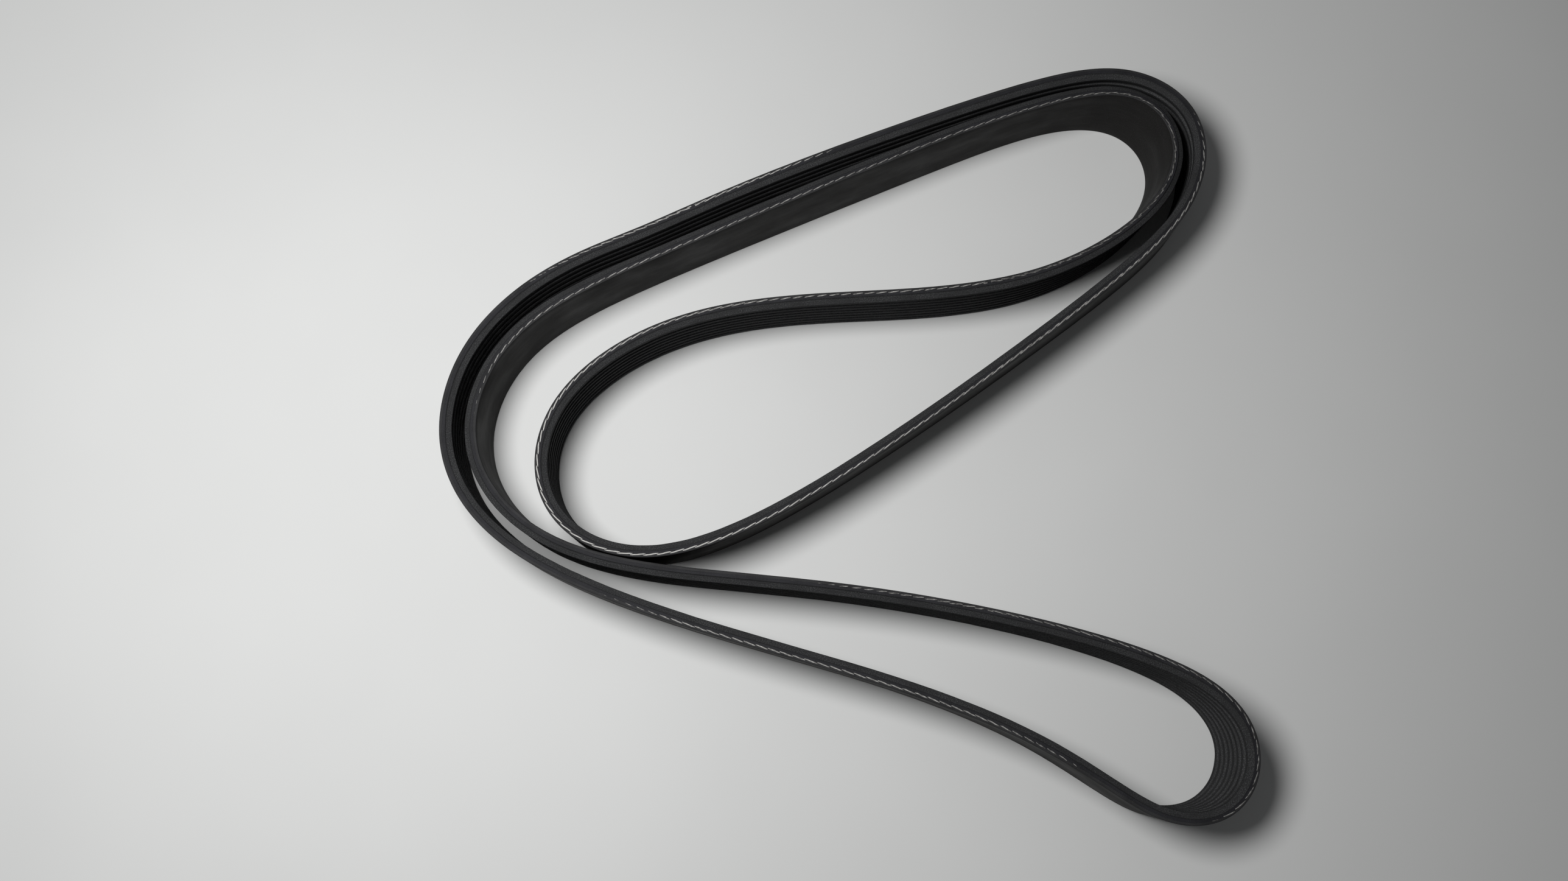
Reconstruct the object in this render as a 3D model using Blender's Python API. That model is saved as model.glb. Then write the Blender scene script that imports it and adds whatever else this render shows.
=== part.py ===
"""Multi-rib accessory drive belt: one endless rubber band with eight lengthwise ribs.

The belt stands on one cut edge, folded into two nested loops and a tail. Its plies are
bonded one inside the other and share the same cross-sections along the route:
back cover, tensile cord turns, adhesion rubber and ribbed compression rubber.
"""
import math

import bmesh
import bpy
import numpy as np

# Rib profile, metres and radians
RIB_COUNT = 8
RIB_PITCH = 0.00356
RIB_HEIGHT = 0.0018
FLANK_ANGLE = math.radians(20)
GROOVE_WIDTH = 0.0008
BELT_WIDTH = RIB_COUNT * RIB_PITCH

# Layers through the thickness, from the cord line: minus to the back, plus to the ribs
BACK_FACE = -0.00095
CORD_BED = 0.00058
ADHESION_FACE = 0.00098
BOND_GAP = 0.0001
RIB_TIP = 0.00315
GROOVE_FLOOR = RIB_TIP - RIB_HEIGHT

# Tensile cord: turns side by side from one cut edge to the other
CORD_DIAMETER = 0.0009
CORD_TURNS = 24
CORD_SIDES = 4
CORD_PITCH = (BELT_WIDTH - CORD_DIAMETER) / (CORD_TURNS - 1)

# Cross-sections along the belt, closer together where it bends
STATION_COUNT = 76
SAMPLE_COUNT = 3200
GENTLE_BEND_SHARE = 3.9
PLY_ROWS = 4

# Corners of the outline that the cord line rounds off: x, y in metres, and the lean of
# the band in degrees, plus where its upper edge tips towards the ribs
ROUTE = (
    (0.1335, -0.124, -13), (0.1345, -0.0825, 2),                                # tail end
    (0.033, -0.0595, 4), (-0.0315, -0.055, 4),                                  # tail, upper strand
    (-0.0945, -0.051, 4), (-0.128, -0.0175, 3), (-0.1155, 0.028, -1),           # left bend, inner
    (-0.0675, 0.054, -4), (0.027, 0.098, 0), (0.079, 0.122, -6),                # top strand, inner
    (0.1095, 0.119, 7), (0.1195, 0.087, 7),                                     # right bend, inner
    (0.0675, 0.0455, 3), (-0.0145, 0.0445, 6), (-0.065, 0.0325, 3),             # middle strand
    (-0.102, 0.0025, 3), (-0.101, -0.037, -4), (-0.066, -0.056, -4),            # inmost bend
    (-0.013, -0.0325, -6), (0.094, 0.0495, -4),                                 # diagonal strand
    (0.1265, 0.080, 0), (0.1285, 0.1145, 0), (0.102, 0.1325, 0),                # right bend, outer
    (0.0635, 0.1235, 0), (-0.035, 0.082, 0), (-0.070, 0.062, 0),                # top strand, outer
    (-0.103, 0.049, 0), (-0.1385, 0.012, 0), (-0.1285, -0.0555, -4),            # left bend, outer
    (0.0275, -0.0875, -6), (0.080, -0.1135, -2), (0.1055, -0.133, -3),          # tail, lower strand
)
OUTLINE_CENTRE = (0.0011, -0.0016)

# Colours, roughness
MATERIALS = {
    "back_rubber": ((0.020, 0.017, 0.014), 0.75),
    "adhesion_rubber": ((0.028, 0.028, 0.032), 0.80),
    "rib_rubber": ((0.016, 0.016, 0.017), 0.85),
    "polyester_cord": ((0.560, 0.550, 0.520), 0.90),
}


def clear_scene():
    for item in list(bpy.data.objects):
        bpy.data.objects.remove(item, do_unlink=True)


def spline_value(corners, position):
    """Closed uniform cubic B-spline through the corners' outline, position in corners."""
    start = int(math.floor(position))
    t = position - start
    weights = (
        (1 - t) ** 3 / 6,
        (3 * t ** 3 - 6 * t ** 2 + 4) / 6,
        (-3 * t ** 3 + 3 * t ** 2 + 3 * t + 1) / 6,
        t ** 3 / 6,
    )
    nearby = [corners[(start + step) % len(corners)] for step in (-1, 0, 1, 2)]
    return sum(weight * corner for weight, corner in zip(weights, nearby))


def route_samples():
    corners = [np.array(corner, dtype=float) for corner in ROUTE]
    steps = np.arange(SAMPLE_COUNT) * len(corners) / SAMPLE_COUNT
    return np.array([spline_value(corners, step) for step in steps])


def station_indices(samples):
    """Samples that share out the turning, with extra ones for long gentle bends."""
    runs = np.roll(samples[:, :2], -1, axis=0) - samples[:, :2]
    lengths = np.hypot(runs[:, 0], runs[:, 1])
    headings = np.arctan2(runs[:, 1], runs[:, 0])
    turns = np.roll(headings, -1) - headings
    turns = np.abs((turns + math.pi) % (2 * math.pi) - math.pi)
    effort = np.cumsum(turns + GENTLE_BEND_SHARE * np.sqrt(turns * lengths))
    targets = (np.arange(STATION_COUNT) + 0.5) * effort[-1] / STATION_COUNT
    return np.searchsorted(effort, targets)


def lowest_corner(lean):
    """How far the leaning section would reach below the edge it stands on."""
    edge_corners = ((BACK_FACE, 0.0), (GROOVE_FLOOR, 0.0))
    return min(b * math.cos(lean) - a * math.sin(lean) for a, b in edge_corners)


def stations():
    """Each station's foot, its inward direction and its lean in radians."""
    samples = route_samples()
    tangents = np.roll(samples[:, :2], -1, axis=0) - np.roll(samples[:, :2], 1, axis=0)
    result = []
    for index in station_indices(samples):
        tangent = tangents[index] / np.linalg.norm(tangents[index])
        inward = np.array((-tangent[1], tangent[0], 0.0))
        lean = math.radians(samples[index, 2])
        foot = np.array((samples[index, 0] - OUTLINE_CENTRE[0],
                         samples[index, 1] - OUTLINE_CENTRE[1],
                         -lowest_corner(lean)))
        result.append((foot, inward, lean))
    return result


def section_point(station, depth, height):
    """Depth is inward from the cord line, height is from the lower cut edge."""
    foot, inward, lean = station
    across = depth * math.cos(lean) + height * math.sin(lean)
    rise = height * math.cos(lean) - depth * math.sin(lean)
    return foot + inward * across + np.array((0.0, 0.0, rise))


def split_quad(profile, corner, after, quad):
    """Cut every wall patch from its lower near corner to its upper far corner."""
    near_a, near_b, far_b, far_a = quad
    if profile[after][1] > profile[corner][1]:
        return (near_a, near_b, far_b), (near_a, far_b, far_a)
    return (near_a, near_b, far_a), (near_b, far_b, far_a)


def sweep(name, profile, course, material):
    """Closed ring of one cross-section, its corners listed clockwise seen along the belt."""
    mesh = bpy.data.meshes.new(name)
    work = bmesh.new()
    rings = [[work.verts.new(section_point(station, a, b)) for a, b in profile]
             for station in course]
    for index, ring in enumerate(rings):
        following = rings[(index + 1) % len(rings)]
        for corner in range(len(profile)):
            after = (corner + 1) % len(profile)
            quad = (ring[corner], ring[after], following[after], following[corner])
            for face in split_quad(profile, corner, after, quad):
                work.faces.new(face)
    bmesh.ops.recalc_face_normals(work, faces=work.faces)
    work.to_mesh(mesh)
    work.free()
    mesh.materials.append(material)
    ply = bpy.data.objects.new(name, mesh)
    bpy.context.scene.collection.objects.link(ply)
    return ply


def wall(depth, rows, upwards):
    """Points of a straight face across the belt's width."""
    heights = [BELT_WIDTH * row / (rows - 1) for row in range(rows)]
    if not upwards:
        heights.reverse()
    return [(depth, height) for height in heights]


def flat_ply(outer, inner):
    return wall(outer, PLY_ROWS, True) + wall(inner, PLY_ROWS, False)


def rib_profile():
    """Flat bonding face, then the ribs from the upper edge down to the lower one."""
    half_foot = (RIB_PITCH - GROOVE_WIDTH) / 2
    half_tip = half_foot - RIB_HEIGHT * math.tan(FLANK_ANGLE)
    points = wall(ADHESION_FACE + BOND_GAP, PLY_ROWS, True)
    points.append((GROOVE_FLOOR, BELT_WIDTH))
    for rib in reversed(range(RIB_COUNT)):
        middle = (rib + 0.5) * RIB_PITCH
        points.append((GROOVE_FLOOR, middle + half_foot))
        points.append((RIB_TIP, middle + half_tip))
        points.append((RIB_TIP, middle - half_tip))
        points.append((GROOVE_FLOOR, middle - half_foot))
    points.append((GROOVE_FLOOR, 0.0))
    return points


def cord_profile(turn):
    middle = CORD_DIAMETER / 2 + turn * CORD_PITCH
    angles = [2 * math.pi * side / CORD_SIDES for side in range(CORD_SIDES)]
    radius = CORD_DIAMETER / 2
    return [(-radius * math.cos(angle), middle + radius * math.sin(angle)) for angle in angles]


def make_material(name):
    colour, roughness = MATERIALS[name]
    material = bpy.data.materials.new(name)
    material.use_nodes = True
    shader = material.node_tree.nodes["Principled BSDF"]
    shader.inputs["Base Color"].default_value = (*colour, 1.0)
    shader.inputs["Roughness"].default_value = roughness
    shader.inputs["Metallic"].default_value = 0.0
    return material


def build():
    clear_scene()
    materials = {name: make_material(name) for name in MATERIALS}
    course = stations()
    sweep("back_cover", flat_ply(BACK_FACE, -CORD_BED), course, materials["back_rubber"])
    sweep("adhesion_rubber", flat_ply(CORD_BED, ADHESION_FACE), course,
          materials["adhesion_rubber"])
    sweep("rib_layer", rib_profile(), course, materials["rib_rubber"])
    for turn in range(CORD_TURNS):
        name = f"cord_turn_{turn + 1:02d}"
        sweep(name, cord_profile(turn), course, materials["polyester_cord"])


build()
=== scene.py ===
"""Looks of the multi-rib drive belt: fine plies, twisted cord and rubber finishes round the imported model.

Every ply follows the same route as the CAD part. Depth is measured inward from the cord line,
height from the lower cut edge, and "along" is the distance along the belt, all in metres.
"""
import math

import bpy
import numpy as np
from mathutils import Matrix, Vector


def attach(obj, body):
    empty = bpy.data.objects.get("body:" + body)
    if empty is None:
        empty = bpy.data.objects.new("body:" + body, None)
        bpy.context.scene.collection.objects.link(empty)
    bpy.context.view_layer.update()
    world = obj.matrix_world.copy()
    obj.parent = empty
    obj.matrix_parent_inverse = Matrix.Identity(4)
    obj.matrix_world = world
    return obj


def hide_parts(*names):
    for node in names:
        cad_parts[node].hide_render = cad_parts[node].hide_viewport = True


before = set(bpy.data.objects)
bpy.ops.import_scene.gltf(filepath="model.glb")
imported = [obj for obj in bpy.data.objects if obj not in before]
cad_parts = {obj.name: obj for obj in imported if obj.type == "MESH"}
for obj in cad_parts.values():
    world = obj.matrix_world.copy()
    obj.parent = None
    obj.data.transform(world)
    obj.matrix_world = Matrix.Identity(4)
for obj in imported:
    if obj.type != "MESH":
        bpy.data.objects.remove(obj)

MM = 0.001
FULL_TURN = 2 * math.pi

# Rib profile, as in the CAD part
RIB_COUNT = 8
RIB_PITCH = 3.56 * MM
RIB_HEIGHT = 1.8 * MM
FLANK_ANGLE = math.radians(20)
GROOVE_WIDTH = 0.8 * MM
BELT_WIDTH = RIB_COUNT * RIB_PITCH

# Layers through the thickness, as in the CAD part, but closed up where they are bonded
BACK_FACE = -0.95 * MM
CORD_BED = 0.47 * MM
BOND_LINE = 1.03 * MM
RIB_TIP = 3.15 * MM
GROOVE_FLOOR = RIB_TIP - RIB_HEIGHT
HAIRLINE = 0.01 * MM
EDGE_SKIN = 0.25 * MM

# Rounded corners of the sections, and how far the faces at the cuts and tips reach
BACK_ROUND = 0.36 * MM
CUT_ROUND = 0.05 * MM
CUT_CHAMFER = 0.22 * MM
TIP_ROUND = 0.22 * MM
FOOT_ROUND = 0.30 * MM
ROUND_STEPS = 3
SHARP_ANGLE = math.radians(38)
CUT_REACH = 0.1 * MM
TIP_REACH = 0.16 * MM

# Tensile cord: three plies of two yarns each. Where the knife passes from above the cord's
# middle to below it, at a crossing, the plies are buried for a short way.
CORD_TURNS = 24
CORD_DIAMETER = 0.9 * MM
CORD_PITCH = (BELT_WIDTH - CORD_DIAMETER) / (CORD_TURNS - 1)
CORD_LAY = 12.4 * MM
YARN_LAY = 4.6 * MM
PLY_COUNT = 3
PLY_RADIUS = 0.22 * MM
PLY_ORBIT = 0.24 * MM
PLY_OVAL = 0.09
SLICE_CROWN = 0.04 * MM
CROSSING = 0.06 * MM
LOBE_DEPTH = 0.12

# Sections along the belt, and points round a ply
BAND_STATIONS = 660
CORD_STATIONS = 2400
INNER_STATIONS = 1160
PLY_SIDES = 10
INNER_SIDES = 12
SAMPLE_COUNT = 24000
TANGENT_STEP = 0.01
GENTLE_BEND_SHARE = 3.9
BACK_ROWS = 11
BAKE_MARGIN = 0.06

# How far the knife wandered, how far down the section follows it, and how uneven the
# ground and moulded faces are. Waves are given by their longest and shortest length.
KNIFE_WANDER = 0.05 * MM
KNIFE_WAVES = (0.300, 0.020)
KNIFE_REACH = 1.5 * MM
TIP_UNEVENNESS = 0.03 * MM
TIP_WAVES = (0.150, 0.008)
BACK_UNEVENNESS = 0.03 * MM
BACK_WIDE_WAVES = (0.200, 0.012)
BACK_NARROW_WAVES = (0.060, 0.006)
WAVE_DRAWS = 24

# Corners of the outline that the cord line rounds off: x, y, and the lean in degrees
ROUTE = (
    (0.1335, -0.124, -13), (0.1345, -0.0825, 2),                                # tail end
    (0.033, -0.0595, 4), (-0.0315, -0.055, 4),                                  # tail, upper strand
    (-0.0945, -0.051, 4), (-0.128, -0.0175, 3), (-0.1155, 0.028, -1),           # left bend, inner
    (-0.0675, 0.054, -4), (0.027, 0.098, 0), (0.079, 0.122, -6),                # top strand, inner
    (0.1095, 0.119, 7), (0.1195, 0.087, 7),                                     # right bend, inner
    (0.0675, 0.0455, 3), (-0.0145, 0.0445, 6), (-0.065, 0.0325, 3),             # middle strand
    (-0.102, 0.0025, 3), (-0.101, -0.037, -4), (-0.066, -0.056, -4),            # inmost bend
    (-0.013, -0.0325, -6), (0.094, 0.0495, -4),                                 # diagonal strand
    (0.1265, 0.080, 0), (0.1285, 0.1145, 0), (0.102, 0.1325, 0),                # right bend, outer
    (0.0635, 0.1235, 0), (-0.035, 0.082, 0), (-0.070, 0.062, 0),                # top strand, outer
    (-0.103, 0.049, 0), (-0.1385, 0.012, 0), (-0.1285, -0.0555, -4),            # left bend, outer
    (0.0275, -0.0875, -6), (0.080, -0.1135, -2), (0.1055, -0.133, -3),          # tail, lower strand
)
OUTLINE_CENTRE = (0.0011, -0.0016)

# Where the knife ran through the cord at each edge: distance along the belt in metres, height
# of the cut from the cord's middle outward in millimetres, and how clean and white it shows
UPPER_CUT = (
    (0.000, -0.34, 0.54), (0.108, -0.32, 0.52), (0.114, 0.32, 0.52), (0.155, 0.37, 0.54),
    (0.171, 0.46, 0.50), (0.190, 0.62, 0.40), (0.290, 0.62, 0.40), (0.308, 0.44, 0.50),
    (0.330, 0.33, 0.60), (0.440, 0.33, 0.58), (0.500, 0.32, 0.52), (0.606, 0.28, 0.48),
    (0.611, -0.26, 0.42), (0.680, -0.28, 0.46), (0.685, 0.34, 0.60), (0.745, 0.36, 0.64),
    (0.770, 0.28, 0.62), (0.820, 0.28, 0.80), (0.860, 0.30, 1.00), (0.930, 0.28, 1.00),
    (0.970, 0.30, 0.80), (1.030, 0.28, 0.66), (1.070, 0.16, 0.62), (1.105, 0.22, 0.62),
    (1.160, 0.33, 0.60), (1.182, 0.46, 0.45), (1.200, 0.62, 0.40), (1.295, 0.62, 0.40),
    (1.312, 0.46, 0.60), (1.325, 0.36, 0.68), (1.345, 0.28, 0.72), (1.367, 0.27, 0.72),
    (1.372, -0.27, 0.72), (1.395, -0.28, 0.68), (1.415, -0.34, 0.60), (1.428, -0.40, 0.56),
    (1.438, -0.47, 0.50), (1.458, -0.62, 0.40), (1.556, -0.62, 0.40), (1.580, -0.42, 0.50),
    (1.605, -0.32, 0.68), (1.695, -0.30, 0.62), (1.730, -0.36, 0.50), (1.743, -0.50, 0.40),
    (1.777, -0.50, 0.40), (1.788, -0.34, 0.55),
)
LOWER_CUT = (
    (0.000, 0.20, 0.50), (0.210, 0.30, 0.50), (0.330, 0.62, 0.40), (0.560, 0.62, 0.40),
    (0.650, 0.25, 0.50), (0.980, 0.12, 0.55), (1.150, 0.62, 0.40), (1.420, 0.62, 0.40),
    (1.540, 0.22, 0.50),
)
INNER_CLEAN = 0.9

# Colours of each rubber face: darkest and lightest base, and its flecks
RUBBER_COLOURS = {
    "moulded_back_rubber": (
        (0.0068, 0.0061, 0.0058), (0.0100, 0.0091, 0.0087), (0.040, 0.038, 0.037)),
    "cut_back_rubber": (
        (0.020, 0.020, 0.021), (0.036, 0.036, 0.038), (0.08, 0.08, 0.08)),
    "cut_adhesion_rubber": (
        (0.013, 0.013, 0.015), (0.022, 0.022, 0.026), (0.07, 0.07, 0.075)),
    "cut_rib_rubber": (
        (0.0070, 0.0070, 0.0085), (0.0120, 0.0122, 0.0145), (0.045, 0.045, 0.050)),
    "ground_rib_tips": (
        (0.0115, 0.0115, 0.0120), (0.0190, 0.0192, 0.0200), (0.060, 0.062, 0.065)),
    "ground_rib_flanks": (
        (0.0200, 0.0200, 0.0208), (0.0320, 0.0324, 0.0335), (0.085, 0.087, 0.090)),
    # Grooves and inner flanks: lighter than the outer flanks, painted light that lifts the shade in the
    # grooves
    "groove_rubber_painted_light": (
        (0.0300, 0.0300, 0.0310), (0.0480, 0.0485, 0.0500), (0.120, 0.122, 0.126)),
}
SCUFF_COLOUR = (0.018, 0.0165, 0.016)
YARN_SHADE = (0.40, 0.39, 0.37)
YARN_LIGHT = (0.72, 0.71, 0.69)
YARN_SMEARED = (0.050, 0.048, 0.047)
TABLE_SHADE = (0.790, 0.795, 0.790)
TABLE_LIGHT = (0.820, 0.825, 0.820)

# Stage: the table's half side, one small lamp above the left half, a dim room, the camera
TABLE_HALF = 3.0
ROOM_COLOUR = (0.98, 0.99, 1.0, 1.0)
ROOM_STRENGTH = 0.07
LAMP_PLACE = (-0.18, -0.01, 0.49)
LAMP_AIM = (-0.18, 0.07, 0.0)
LAMP_WIDTH = 0.22
LAMP_POWER = 2.20
LAMP_SPREAD = math.radians(180)
LAMP_COLOUR = (1.0, 1.0, 0.995)
CAMERA_PLACE = (-0.0195, -0.1386, 0.5302)
CAMERA_TILT = math.radians(14.42)
CAMERA_ROLL = math.radians(1.62)
CAMERA_LENS = 35.6
CAMERA_SENSOR = 36.0
CAMERA_NEAR = 0.01


def spline_weights(t):
    return (
        (1 - t) ** 3 / 6,
        (3 * t ** 3 - 6 * t ** 2 + 4) / 6,
        (-3 * t ** 3 + 3 * t ** 2 + 3 * t + 1) / 6,
        t ** 3 / 6,
    )


def route_at(positions):
    """Rows of x, y and lean on the closed cubic B-spline, positions counted in corners."""
    corners = np.array(ROUTE)
    start = np.floor(positions).astype(int)
    weights = spline_weights((positions - start)[:, None])
    return sum(weight * corners[(start + step) % len(corners)]
               for weight, step in zip(weights, (-1, 0, 1, 2)))


SAMPLE_POSITIONS = np.arange(SAMPLE_COUNT + 1) * len(ROUTE) / SAMPLE_COUNT
SAMPLE_RUNS = np.diff(route_at(SAMPLE_POSITIONS)[:, :2], axis=0)
SAMPLE_LENGTHS = np.hypot(SAMPLE_RUNS[:, 0], SAMPLE_RUNS[:, 1])
SAMPLE_ALONG = np.concatenate(([0.0], np.cumsum(SAMPLE_LENGTHS)))
BELT_LENGTH = SAMPLE_ALONG[-1]


def even_stations(count):
    return np.arange(count) * BELT_LENGTH / count


def bend_stations(count):
    """Distances along the belt that share out the turning, closer together in tight bends."""
    headings = np.unwrap(np.arctan2(SAMPLE_RUNS[:, 1], SAMPLE_RUNS[:, 0]))
    turns = np.abs(np.diff(headings, append=headings[-1]))
    effort = np.cumsum(turns + GENTLE_BEND_SHARE * np.sqrt(turns * SAMPLE_LENGTHS))
    targets = np.arange(count) * effort[-1] / count
    return SAMPLE_ALONG[np.searchsorted(effort, targets)]


class Course:
    """Cross-sections at the given distances along the closed belt."""

    def __init__(self, along):
        positions = np.interp(along, SAMPLE_ALONG, SAMPLE_POSITIONS)
        line = route_at(positions)
        ahead = route_at(positions + TANGENT_STEP) - route_at(positions - TANGENT_STEP)
        tangent = ahead[:, :2] / np.linalg.norm(ahead[:, :2], axis=1)[:, None]
        lean = np.radians(line[:, 2])
        lowest = np.minimum(-BACK_FACE * np.sin(lean), -GROOVE_FLOOR * np.sin(lean))
        self.along = along
        self.inward = np.column_stack((-tangent[:, 1], tangent[:, 0]))
        self.lean = lean[:, None]
        self.foot = np.column_stack((line[:, :2] - OUTLINE_CENTRE, -lowest))

    def points(self, depth, height):
        """World points for depths and heights with one row per section."""
        across = depth * np.cos(self.lean) + height * np.sin(self.lean)
        rise = height * np.cos(self.lean) - depth * np.sin(self.lean)
        result = np.empty(across.shape + (3,))
        result[..., :2] = self.foot[:, None, :2] + self.inward[:, None, :] * across[..., None]
        result[..., 2] = self.foot[:, None, 2] + rise
        return result


def waver(along, wave_lengths, seed):
    """Smooth random values, mostly within 1 of zero, that meet where the belt closes."""
    draw = np.random.default_rng(seed)
    first, last = (int(BELT_LENGTH / length) for length in wave_lengths)
    waves = np.unique(draw.integers(first, last + 1, WAVE_DRAWS))
    phases = draw.uniform(0, FULL_TURN, len(waves))
    angles = FULL_TURN * along[..., None] * waves / BELT_LENGTH + phases
    return np.sin(angles).sum(axis=-1) * math.sqrt(2 / len(waves)) / 2


def upper_edge(along):
    return BELT_WIDTH + KNIFE_WANDER * waver(along, KNIFE_WAVES, seed=11)


def lower_edge(along):
    return KNIFE_WANDER * (1 + waver(along, KNIFE_WAVES, seed=12)) / 2


# Meshes

def rounded(corners):
    """Outline points of a polygon whose corners are x, y and radius, zero for sharp."""
    result = []
    for index, (x, y, radius) in enumerate(corners):
        point = np.array((x, y))
        if radius == 0:
            result.append(point)
            continue
        before = np.array(corners[index - 1][:2]) - point
        after = np.array(corners[(index + 1) % len(corners)][:2]) - point
        before /= np.linalg.norm(before)
        after /= np.linalg.norm(after)
        half_corner = math.acos(float(before @ after)) / 2
        reach = radius / math.tan(half_corner)
        for step in range(ROUND_STEPS + 1):
            t = step / ROUND_STEPS
            result.append(point + reach * (before * (1 - t) ** 2 + after * t ** 2))
    return np.array(result)


def add_map(mesh, name, values):
    layer = mesh.uv_layers.new(name=name)
    layer.data.foreach_set("uv", values.astype(np.float32).ravel())


def tube_faces(tube_count, stations, sides):
    """Corner indices of each wall patch, one closed ring of sections per tube."""
    tube, station, side = np.meshgrid(np.arange(tube_count), np.arange(stations),
                                      np.arange(sides), indexing="ij")
    ahead = (station + 1) % stations
    beside = (side + 1) % sides
    base = tube * stations * sides
    return np.stack((base + station * sides + side, base + ahead * sides + side,
                     base + ahead * sides + beside, base + station * sides + beside), axis=-1)


def ring_maps(along, girth, tube_count):
    """Maps of every tube's patches: in metres, and in rows that fill the unit square."""
    ends = np.append(along[1:], BELT_LENGTH)
    shape = (tube_count, len(along), len(girth) - 1, 4)
    run = np.empty(shape)
    run[..., 0] = run[..., 3] = along[None, :, None]
    run[..., 1] = run[..., 2] = ends[None, :, None]
    round_ = np.empty(shape)
    round_[..., 0] = round_[..., 1] = girth[:-1]
    round_[..., 2] = round_[..., 3] = girth[1:]
    rows = max(1, round(math.sqrt(BELT_LENGTH / (girth[-1] * tube_count))))
    row_length = BELT_LENGTH / rows
    row = np.minimum(along // row_length, rows - 1)[None, :, None, None]
    longest = (ends - along).max() + row_length
    u = (run - row * row_length) / longest
    band = np.arange(tube_count)[:, None, None, None] * rows + row
    filled = BAKE_MARGIN + (1 - 2 * BAKE_MARGIN) * round_ / girth[-1]
    v = (band + filled) / (rows * tube_count)
    return np.stack((run, round_), axis=-1), np.stack((u, v), axis=-1)


def ring_mesh(name, tubes, along, girth, finishes, slots=None):
    """A piece swept round the belt. Tubes are arrays of section points, sections first."""
    tube_count, stations, sides = tubes.shape[:3]
    faces = tube_faces(tube_count, stations, sides)
    mesh = bpy.data.meshes.new(name)
    mesh.from_pydata(tubes.reshape(-1, 3).tolist(), [], faces.reshape(-1, 4).tolist())
    metric, rows = ring_maps(along, girth, tube_count)
    add_map(mesh, "belt", metric)
    add_map(mesh, "OFBake", rows)
    for finish in finishes:
        mesh.materials.append(finish)
    if slots is not None:
        mesh.polygons.foreach_set("material_index", np.tile(slots, stations))
    mesh.shade_smooth()
    mesh.set_sharp_from_angle(angle=SHARP_ANGLE)
    mesh.update()
    piece = bpy.data.objects.new(name, mesh)
    bpy.context.scene.collection.objects.link(piece)
    return piece


def outline_girth(outline):
    edges = np.roll(outline, -1, axis=0) - outline
    return np.concatenate(([0.0], np.cumsum(np.hypot(edges[:, 0], edges[:, 1]))))


def edge_pull(height):
    """How much each height follows the wandering upper and lower cuts, 1 at the edge."""
    upper = np.clip(1 - (BELT_WIDTH - height) / KNIFE_REACH, 0, 1)
    lower = np.clip(1 - height / KNIFE_REACH, 0, 1)
    return upper, lower


def band_points(course, outline, unevenness=0.0):
    depth = outline[:, 0] + unevenness
    height = np.broadcast_to(outline[:, 1], (len(course.along), len(outline)))
    upper, lower = edge_pull(outline[:, 1])
    height = height + upper * (upper_edge(course.along)[:, None] - BELT_WIDTH)
    height = height + lower * lower_edge(course.along)[:, None]
    return course.points(depth * np.ones_like(height), height)[None]


def stand_in(piece, node):
    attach(piece, "root")
    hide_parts(node)
    return piece


# Finishes

class Finish:
    """A Principled material with a few helpers for its node tree."""

    def __init__(self, name, roughness, specular):
        self.material = bpy.data.materials.new(name)
        self.material.use_nodes = True
        self.tree = self.material.node_tree
        self.shader = self.tree.nodes["Principled BSDF"]
        self.shader.inputs["Roughness"].default_value = roughness
        self.shader.inputs["Specular IOR Level"].default_value = specular

    def node(self, kind, **settings):
        node = self.tree.nodes.new(kind)
        for key, value in settings.items():
            if key in node.inputs:
                node.inputs[key].default_value = value
            else:
                setattr(node, key, value)
        return node

    def link(self, source, target):
        self.tree.links.new(source, target)

    def belt_map(self, stretch_along, stretch_across):
        """The belt's own map in metres, scaled so that patterns can run along or across."""
        place = self.node("ShaderNodeUVMap", uv_map="belt")
        scale = self.node("ShaderNodeMapping")
        scale.inputs["Scale"].default_value = (stretch_along, stretch_across, 1)
        self.link(place.outputs["UV"], scale.inputs["Vector"])
        return scale.outputs["Vector"]

    def noise(self, place, detail=4.0, roughness=0.6):
        node = self.node("ShaderNodeTexNoise", Scale=1.0, Detail=detail, Roughness=roughness)
        node.noise_dimensions = "2D"
        self.link(place, node.inputs["Vector"])
        return node.outputs["Fac"]

    def ramp(self, value, low, high, bottom=0.0, top=1.0):
        node = self.node("ShaderNodeMapRange")
        for key, number in (("From Min", low), ("From Max", high),
                            ("To Min", bottom), ("To Max", top)):
            node.inputs[key].default_value = number
        self.link(value, node.inputs["Value"])
        return node.outputs["Result"]

    def mix(self, factor, first, second):
        """Blend of two colours, which are inputs 6 and 7 and output 2 of a Mix node."""
        node = self.node("ShaderNodeMix", data_type="RGBA")
        for socket, value in ((node.inputs[6], first), (node.inputs[7], second)):
            if isinstance(value, tuple):
                socket.default_value = (*value, 1.0)
            else:
                self.link(value, socket)
        self.link(factor, node.inputs[0])
        return node.outputs[2]

    def combine(self, operation, first, second):
        node = self.node("ShaderNodeMath", operation=operation)
        for socket, value in zip(node.inputs, (first, second)):
            if isinstance(value, (int, float)):
                socket.default_value = value
            else:
                self.link(value, socket)
        return node.outputs[0]

    def colour(self, source):
        self.link(source, self.shader.inputs["Base Color"])

    def relief(self, height, distance):
        bump = self.node("ShaderNodeBump", Strength=1.0, Distance=distance)
        self.link(height, bump.inputs["Height"])
        self.link(bump.outputs["Normal"], self.shader.inputs["Normal"])

    def rough(self, value):
        self.link(value, self.shader.inputs["Roughness"])


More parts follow.
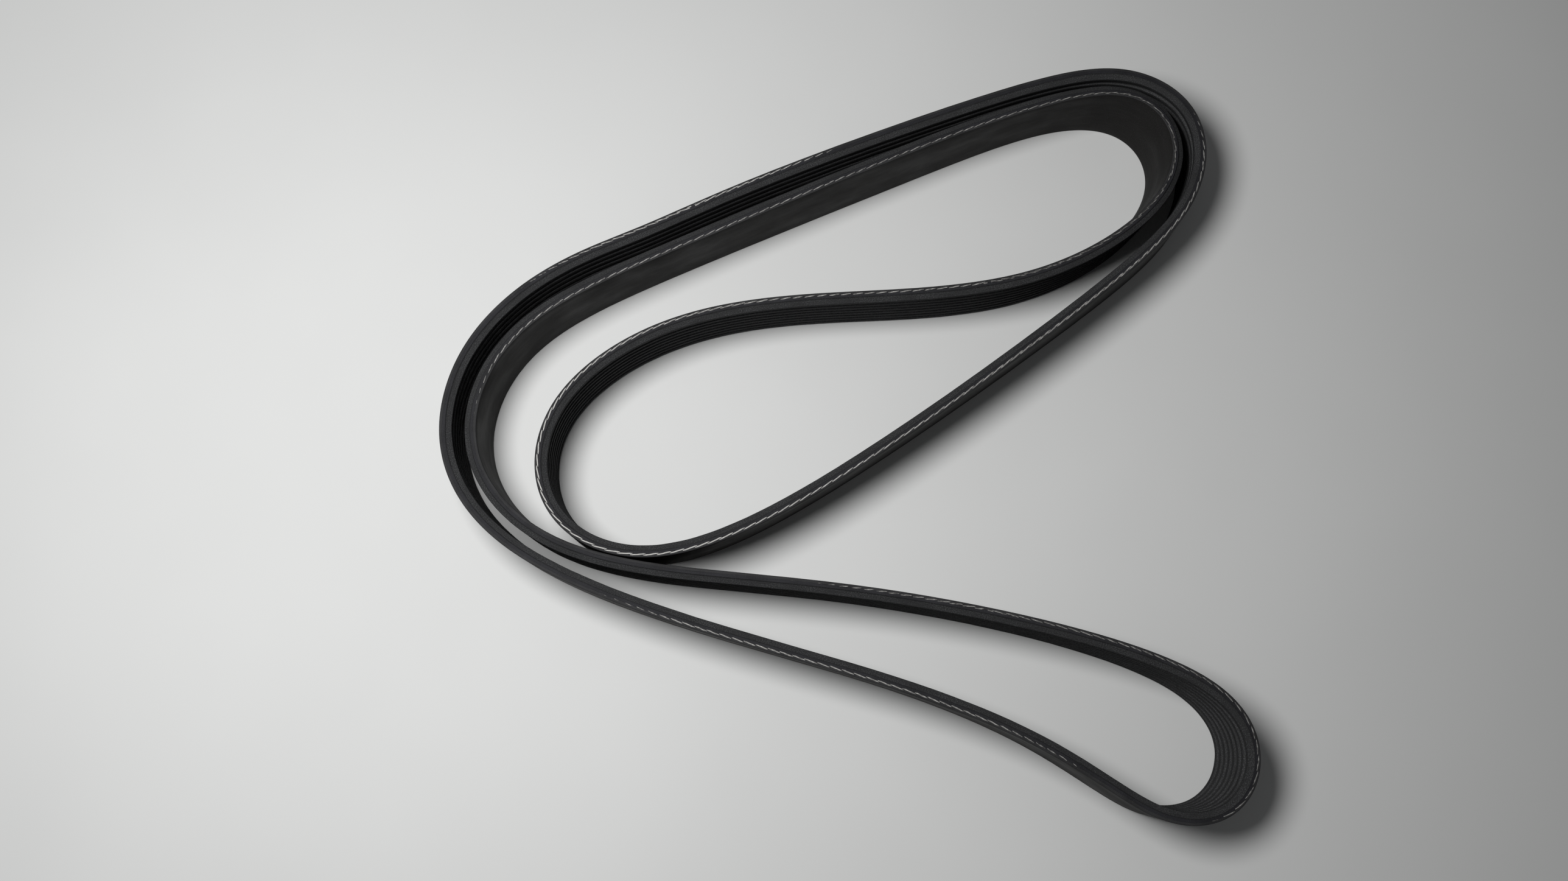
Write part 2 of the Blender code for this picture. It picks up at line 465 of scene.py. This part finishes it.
def moulded_rubber():
    """Smooth brownish back with a dull bloom, faint scuffs along the belt and a fine grain."""
    name = "moulded_back_rubber"
    dark, light, fleck = RUBBER_COLOURS[name]
    finish = Finish(name, 0.7, 0.24)
    clouds = finish.noise(finish.belt_map(45, 90), detail=3)
    scuffs = finish.noise(finish.belt_map(60, 1500), detail=3)
    grain = finish.noise(finish.belt_map(2600, 2600), detail=2)
    base = finish.mix(finish.ramp(clouds, 0.35, 0.65), dark, light)
    worn = finish.mix(finish.ramp(scuffs, 0.56, 0.72, 0, 0.5), base, SCUFF_COLOUR)
    specks = finish.ramp(grain, 0.60, 0.74, 0, 0.5)
    finish.colour(finish.mix(specks, worn, fleck))
    finish.rough(finish.ramp(clouds, 0.3, 0.7, 0.62, 0.80))
    finish.relief(finish.combine("ADD", grain, finish.combine("MULTIPLY", scuffs, 0.6)),
                  0.03 * MM)
    return finish.material


def cut_rubber(name, fleck_share):
    """Knife-cut edge: fine lines along the cut, with the cut ends of fibres as flecks."""
    dark, light, fleck = RUBBER_COLOURS[name]
    finish = Finish(name, 0.72, 0.25)
    lines = finish.noise(finish.belt_map(90, 5200), detail=3)
    patches = finish.noise(finish.belt_map(120, 400), detail=2)
    flecks = finish.noise(finish.belt_map(3000, 4200), detail=1)
    base = finish.mix(finish.ramp(finish.combine("ADD", lines, patches), 0.75, 1.25),
                      dark, light)
    finish.colour(finish.mix(finish.ramp(flecks, 0.60, 0.72, 0, fleck_share), base, fleck))
    finish.relief(finish.combine("ADD", lines, flecks), 0.02 * MM)
    return finish.material


def ground_rubber(name):
    """Ground ribs: matt, streaked along the belt, with short fibres showing as grey flecks."""
    dark, light, fleck = RUBBER_COLOURS[name]
    finish = Finish(name, 0.85, 0.20)
    streaks = finish.noise(finish.belt_map(160, 4200), detail=3)
    fibres = finish.noise(finish.belt_map(2300, 3600), detail=2, roughness=0.7)
    patches = finish.noise(finish.belt_map(70, 200), detail=2)
    base = finish.mix(finish.ramp(streaks, 0.32, 0.68), dark, light)
    share = finish.combine("MULTIPLY", finish.ramp(fibres, 0.46, 0.70),
                           finish.ramp(patches, 0.35, 0.65, 0.4, 0.9))
    finish.colour(finish.mix(share, base, fleck))
    finish.relief(finish.combine("ADD", streaks, fibres), 0.07 * MM)
    return finish.material


def polyester(name, with_relief):
    """Off-white twisted yarn, greyed where rubber is smeared over it."""
    finish = Finish(name, 0.80, 0.25)
    clean = finish.node("ShaderNodeAttribute", attribute_name="clean")
    smears = finish.noise(finish.belt_map(700, 2200), detail=3)
    strands = finish.noise(finish.belt_map(900, 16000), detail=2)
    yarn = finish.mix(finish.ramp(strands, 0.35, 0.65), YARN_SHADE, YARN_LIGHT)
    smeared = finish.ramp(finish.combine("SUBTRACT", clean.outputs["Fac"], smears), -0.15, 0.4)
    finish.colour(finish.mix(smeared, YARN_SMEARED, yarn))
    if with_relief:
        finish.relief(strands, 0.03 * MM)
    return finish.material


# Pieces

def back_cover(course, finishes):
    corners = [(BACK_FACE, 0.0, BACK_ROUND)]
    rows = np.linspace(0, BELT_WIDTH, BACK_ROWS)[1:-1]
    corners += [(BACK_FACE, height, 0) for height in rows]
    corners += [(BACK_FACE, BELT_WIDTH, BACK_ROUND), (-HAIRLINE, BELT_WIDTH, 0),
                (-HAIRLINE, BELT_WIDTH - EDGE_SKIN, 0), (-CORD_BED, BELT_WIDTH - EDGE_SKIN, 0),
                (-CORD_BED, EDGE_SKIN, 0), (-HAIRLINE, EDGE_SKIN, 0), (-HAIRLINE, 0.0, 0)]
    outline = rounded(corners)
    on_back = np.isclose(outline[:, 0], BACK_FACE)
    wide = waver(course.along, BACK_WIDE_WAVES, seed=21)[:, None]
    narrow = waver(course.along, BACK_NARROW_WAVES, seed=22)[:, None]
    blend = np.sin(outline[:, 1] / BELT_WIDTH * math.pi)
    unevenness = BACK_UNEVENNESS * on_back * blend * (wide + narrow * blend) / 2
    cut = (outline[:, 1] > BELT_WIDTH - BACK_ROUND / 2) | (outline[:, 1] < BACK_ROUND / 2)
    slots = (cut & np.roll(cut, -1)).astype(int)
    piece = ring_mesh("back_cover_shell", band_points(course, outline, unevenness),
                      course.along, outline_girth(outline), finishes, slots)
    return stand_in(piece, "back_cover")


def adhesion_layer(course, finish):
    inner = BOND_LINE - HAIRLINE
    outline = np.array([
        (CORD_BED, EDGE_SKIN), (CORD_BED, BELT_WIDTH - EDGE_SKIN),
        (HAIRLINE, BELT_WIDTH - EDGE_SKIN), (HAIRLINE, BELT_WIDTH),
        (inner, BELT_WIDTH), (inner, 0.0), (HAIRLINE, 0.0), (HAIRLINE, EDGE_SKIN)])
    piece = ring_mesh("adhesion_rubber_layer", band_points(course, outline),
                      course.along, outline_girth(outline), [finish])
    return stand_in(piece, "adhesion_rubber")


def rib_corners():
    half_foot = (RIB_PITCH - GROOVE_WIDTH) / 2
    half_tip = half_foot - RIB_HEIGHT * math.tan(FLANK_ANGLE)
    corners = [(BOND_LINE, 0.0, 0), (BOND_LINE, BELT_WIDTH, 0),
               (GROOVE_FLOOR - CUT_CHAMFER, BELT_WIDTH, CUT_ROUND)]
    for rib in reversed(range(RIB_COUNT)):
        middle = (rib + 0.5) * RIB_PITCH
        corners += [(GROOVE_FLOOR, middle + half_foot, FOOT_ROUND),
                    (RIB_TIP, middle + half_tip, TIP_ROUND),
                    (RIB_TIP, middle - half_tip, TIP_ROUND),
                    (GROOVE_FLOOR, middle - half_foot, FOOT_ROUND)]
    corners.append((GROOVE_FLOOR - CUT_CHAMFER, 0.0, CUT_ROUND))
    return corners


def rib_layer(course, finishes):
    """Takes the finishes of the tips, the knife cut, the outermost flanks and the grooves; the grooves'
    colour is lightened, painted light against the shade in them.
    """
    outline = rounded(rib_corners())
    rib = np.clip(outline[:, 1] // RIB_PITCH, 0, RIB_COUNT - 1).astype(int)
    towards_tip = np.clip((outline[:, 0] - GROOVE_FLOOR) / RIB_HEIGHT, 0, 1)
    wear = np.stack([waver(course.along, TIP_WAVES, seed=31 + index)
                     for index in range(RIB_COUNT)], axis=1)
    unevenness = TIP_UNEVENNESS * wear[:, rib] * towards_tip
    cut = (outline[:, 1] > BELT_WIDTH - CUT_REACH) | (outline[:, 1] < CUT_REACH)
    tip = outline[:, 0] > RIB_TIP - TIP_REACH
    outer = (outline[:, 1] > BELT_WIDTH - RIB_PITCH / 2) | (outline[:, 1] < RIB_PITCH / 2)
    kinds = [flag & np.roll(flag, -1) for flag in (tip, cut, outer)]
    slots = np.select(kinds, [0, 1, 2], 3)
    piece = ring_mesh("rib_layer_ground", band_points(course, outline, unevenness),
                      course.along, outline_girth(outline), finishes, slots)
    return stand_in(piece, "rib_layer")


def closed_interpolation(along, table, column):
    """Smooth values between listed rows of a table that starts again after the last row."""
    rows = np.array(table)
    places = np.concatenate((rows[:, 0], [BELT_LENGTH]))
    values = np.concatenate((rows[:, column], [rows[0, column]]))
    index = np.clip(np.searchsorted(places, along, side="right") - 1, 0, len(places) - 2)
    t = (along - places[index]) / (places[index + 1] - places[index])
    t = t * t * (3 - 2 * t)
    return values[index] * (1 - t) + values[index + 1] * t


def twist_angles(along, lay):
    """Twist of a cord that has a whole number of turns in the closed belt."""
    return FULL_TURN * round(BELT_LENGTH / lay) * along / BELT_LENGTH


def ply_sections(along, cut, edge, side, ply):
    """Depths and heights round one ply of a turn that the knife sliced along the edge."""
    twist = FULL_TURN * ply / PLY_COUNT - twist_angles(along, CORD_LAY)
    yarn = twist_angles(along, YARN_LAY)[:, None] + ply
    mirror = np.tanh(cut / CROSSING)
    buried = CORD_DIAMETER / 2 * np.exp(-(cut / (2 * CROSSING)) ** 2)
    middle_depth = PLY_ORBIT * np.cos(twist)
    middle_drop = np.abs(cut) + buried - mirror * PLY_ORBIT * np.sin(twist)
    angles = np.arange(PLY_SIDES) * FULL_TURN / PLY_SIDES
    radius = PLY_RADIUS * (1 + PLY_OVAL * np.cos(2 * (angles - yarn)))
    depth = middle_depth[:, None] + radius * np.cos(angles)
    proud = radius * np.sin(angles) - middle_drop[:, None]
    sliced = SLICE_CROWN * (1 - np.exp(-np.maximum(proud, 0) / SLICE_CROWN))
    proud = np.where(proud > 0, sliced, proud)
    return depth, edge[:, None] + side * proud


def edge_between(band, along, edge):
    """Height of the band's cut edge, straight from one of its sections to the next."""
    return np.interp(along, band.along, edge(band.along), period=BELT_LENGTH)


def edge_turn(course, turn, cuts, edge, side, finish):
    """Turn of cord at a cut edge, whose plies show as slanting dashes."""
    along = course.along
    cut = closed_interpolation(along, cuts, 1) * MM
    tubes = []
    for ply in range(PLY_COUNT):
        depth, height = ply_sections(along, cut, edge, side, ply)
        if side < 0:
            depth, height = depth[:, ::-1], height[:, ::-1]
        tubes.append(course.points(depth, height))
    girth = np.linspace(0, FULL_TURN * PLY_RADIUS, PLY_SIDES + 1)
    piece = ring_mesh(f"cord_turn_{turn:02d}_yarn", np.stack(tubes), along, girth, [finish])
    clean = closed_interpolation(along, cuts, 2)
    add_clean(piece.data, np.tile(np.repeat(clean, PLY_SIDES), PLY_COUNT))
    return stand_in(piece, f"cord_turn_{turn:02d}")


def add_clean(mesh, values):
    attribute = mesh.attributes.new("clean", "FLOAT", "POINT")
    attribute.data.foreach_set("value", values.astype(np.float32))


def inner_turn(course, turn, finish):
    """Turn of cord inside the belt, with three rounded plies in one twisted outline."""
    middle = CORD_DIAMETER / 2 + (turn - 1) * CORD_PITCH
    angles = np.arange(INNER_SIDES) * FULL_TURN / INNER_SIDES
    lobe = CORD_DIAMETER / 2 * (1 - LOBE_DEPTH + LOBE_DEPTH * np.cos(PLY_COUNT * angles))
    direction = angles - twist_angles(course.along, CORD_LAY)[:, None]
    tube = course.points(lobe * np.cos(direction), middle + lobe * np.sin(direction))
    girth = np.linspace(0, math.pi * CORD_DIAMETER, INNER_SIDES + 1)
    piece = ring_mesh(f"cord_turn_{turn:02d}_yarn", tube[None], course.along, girth, [finish])
    add_clean(piece.data, np.full(INNER_SIDES * len(course.along), INNER_CLEAN))
    return stand_in(piece, f"cord_turn_{turn:02d}")


def make_belt():
    band = Course(bend_stations(BAND_STATIONS))
    fine = Course(even_stations(CORD_STATIONS))
    coarse = Course(even_stations(INNER_STATIONS))
    back_cut = cut_rubber("cut_back_rubber", 0.3)
    adhesion_cut = cut_rubber("cut_adhesion_rubber", 0.3)
    # The grooves' finish is lightened: painted light against the shade in the grooves
    rib_finishes = [ground_rubber("ground_rib_tips"), cut_rubber("cut_rib_rubber", 0.35),
                    ground_rubber("ground_rib_flanks"), ground_rubber("groove_rubber_painted_light")]
    yarn = polyester("polyester_yarn", True)
    inner_yarn = polyester("polyester_yarn_inside", False)
    back_cover(band, [moulded_rubber(), back_cut])
    adhesion_layer(band, adhesion_cut)
    rib_layer(band, rib_finishes)
    upper = edge_between(band, fine.along, upper_edge)
    lower = edge_between(band, fine.along, lower_edge)
    edge_turn(fine, CORD_TURNS, UPPER_CUT, upper, 1, yarn)
    edge_turn(fine, 1, LOWER_CUT, lower, -1, yarn)
    for turn in range(2, CORD_TURNS):
        inner_turn(coarse, turn, inner_yarn)


# Stage

def make_floor():
    mesh = bpy.data.meshes.new("table_top")
    corners = [(x * TABLE_HALF, y * TABLE_HALF, 0) for x, y in ((-1, -1), (1, -1), (1, 1), (-1, 1))]
    mesh.from_pydata(corners, [], [(0, 1, 2, 3)])
    finish = Finish("pale_table", 0.6, 0.3)
    place = finish.node("ShaderNodeTexCoord")
    soft = finish.node("ShaderNodeTexNoise", Scale=9.0, Detail=3.0)
    finish.link(place.outputs["Object"], soft.inputs["Vector"])
    shade = finish.ramp(soft.outputs["Fac"], 0.3, 0.7)
    finish.colour(finish.mix(shade, TABLE_SHADE, TABLE_LIGHT))
    mesh.materials.append(finish.material)
    floor = bpy.data.objects.new("table_top", mesh)
    bpy.context.scene.collection.objects.link(floor)


def make_lamp():
    lamp = bpy.data.lights.new("key", "AREA")
    lamp.shape = "ELLIPSE"
    lamp.size = lamp.size_y = LAMP_WIDTH
    lamp.energy = LAMP_POWER
    lamp.spread = LAMP_SPREAD
    lamp.color = LAMP_COLOUR
    light = bpy.data.objects.new("key", lamp)
    light.location = LAMP_PLACE
    aim = Vector(LAMP_AIM) - Vector(LAMP_PLACE)
    light.rotation_euler = aim.to_track_quat("-Z", "Y").to_euler()
    light.visible_camera = False
    bpy.context.scene.collection.objects.link(light)


def make_room():
    """Dim light from all sides. The Standard view keeps the table's falloff as it is."""
    world = bpy.data.worlds.new("soft_room")
    world.use_nodes = True
    background = world.node_tree.nodes["Background"]
    background.inputs["Color"].default_value = ROOM_COLOUR
    background.inputs["Strength"].default_value = ROOM_STRENGTH
    bpy.context.scene.world = world
    bpy.context.scene.view_settings.view_transform = "Standard"


def make_camera():
    """Above the near side of the belt, looking down and slightly forward."""
    view = bpy.data.cameras.new("photo_view")
    view.sensor_width = CAMERA_SENSOR
    view.lens = CAMERA_LENS
    view.clip_start = CAMERA_NEAR
    camera = bpy.data.objects.new("photo_view", view)
    tilt = Matrix.Rotation(CAMERA_TILT, 4, "X")
    roll = Matrix.Rotation(CAMERA_ROLL, 4, "Z")
    camera.matrix_world = Matrix.Translation(CAMERA_PLACE) @ tilt @ roll
    bpy.context.scene.collection.objects.link(camera)
    bpy.context.scene.camera = camera


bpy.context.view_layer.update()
make_camera()
make_lamp()
make_room()
make_floor()
make_belt()
